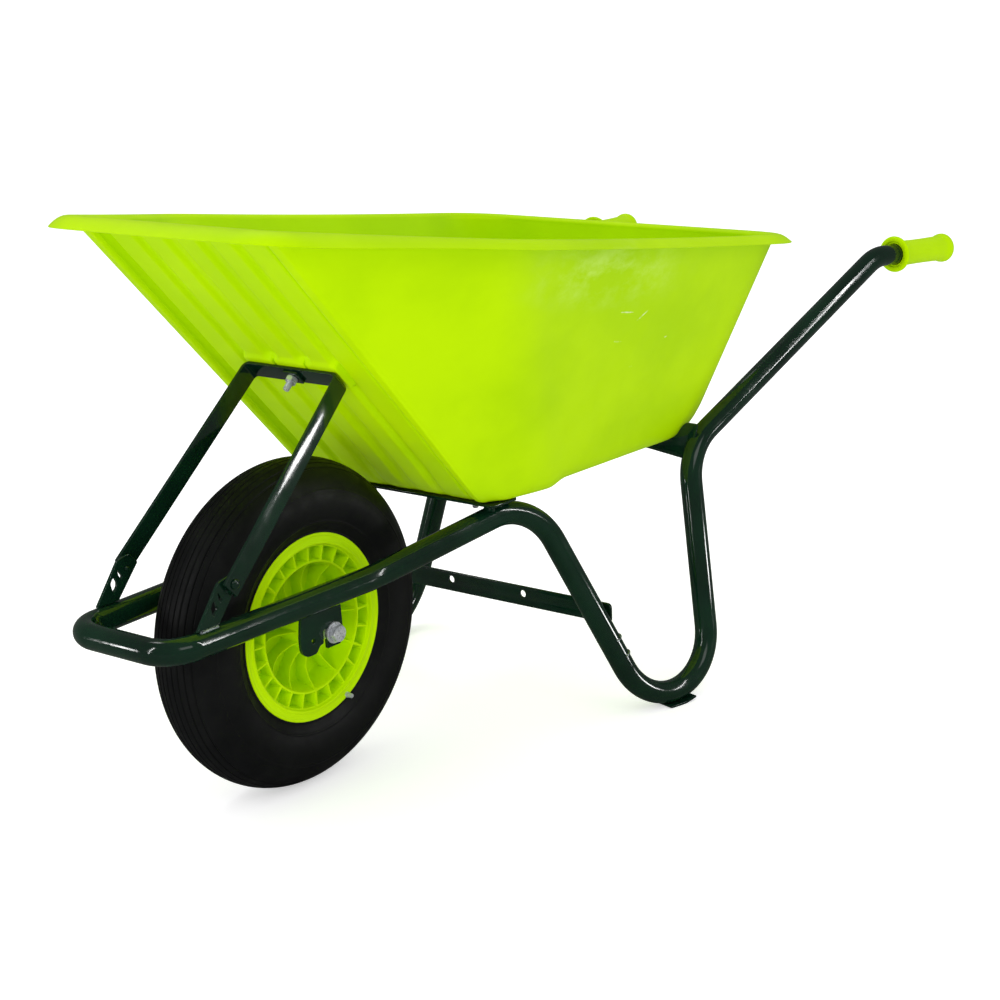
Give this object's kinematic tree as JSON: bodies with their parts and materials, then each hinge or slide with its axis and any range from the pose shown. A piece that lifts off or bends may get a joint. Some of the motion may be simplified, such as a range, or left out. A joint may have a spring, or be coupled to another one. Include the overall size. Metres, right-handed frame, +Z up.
{
  "type": "wheelbarrow",
  "caption": "Single-wheel barrow: a moulded tapered tray on a bent-tube frame with legs, two hand grips and a pneumatic wheel in front.",
  "frame": {"origin": "on the ground, under the middle of the whole length and width", "axes": "+X from the nose to the handles, +Y to the operator's right, +Z up"},
  "size_m": [1.4374, 0.6228, 0.6976],
  "materials": {
    "lime_plastic": "semi-gloss moulded",
    "frame_paint": "gloss powder coat",
    "tyre_rubber": "satin",
    "tube_rubber": "matt",
    "zinc": "zinc plated",
    "nylon": "matt"
  },
  "bodies": {
    "barrow": {"tray": "lime_plastic", "nose_tube": "frame_paint", "side_rail_left": "frame_paint", "side_rail_right": "frame_paint", "leg_tube_left": "frame_paint", "leg_tube_right": "frame_paint", "handle_tube_left": "frame_paint", "handle_tube_right": "frame_paint", "foot_skid_left": "frame_paint", "foot_skid_right": "frame_paint", "brace_tab_left": "frame_paint", "brace_tab_right": "frame_paint", "axle_plate_left": "frame_paint", "axle_plate_right": "frame_paint", "bar_saddle_left": "frame_paint", "bar_saddle_right": "frame_paint", "grip_left": "lime_plastic", "grip_right": "lime_plastic", "tab_screw_left": "frame_paint", "tab_screw_right": "frame_paint", "nose_brace": "frame_paint", "front_cross_bar": "frame_paint", "rear_cross_member": "frame_paint", "leg_brace": "frame_paint", "brace_bolt": "zinc", "brace_clip": "frame_paint", "brace_nut": "zinc", "tray_bolt_front_left": "zinc", "tray_nut_front_left": "zinc", "tray_bolt_front_right": "zinc", "tray_nut_front_right": "zinc", "tray_bolt_rear_left": "zinc", "tray_nut_rear_left": "zinc", "tray_bolt_rear_right": "zinc", "tray_nut_rear_right": "zinc", "axle_bolt": "zinc", "axle_nut": "zinc", "axle_sleeve": "zinc", "axle_washer_left": "zinc", "axle_washer_right": "zinc"},
    "wheel": {"tyre": "tyre_rubber", "rim": "lime_plastic", "inner_tube": "tube_rubber", "hub_bush_left": "nylon", "hub_bush_right": "nylon"}
  },
  "joints": [
    {"name": "wheel_spin", "type": "hinge", "parent": "barrow", "child": "wheel", "pos_m": [-0.44269, 0, 0.2], "axis": [0, 1, 0], "continuous": true}
  ]
}
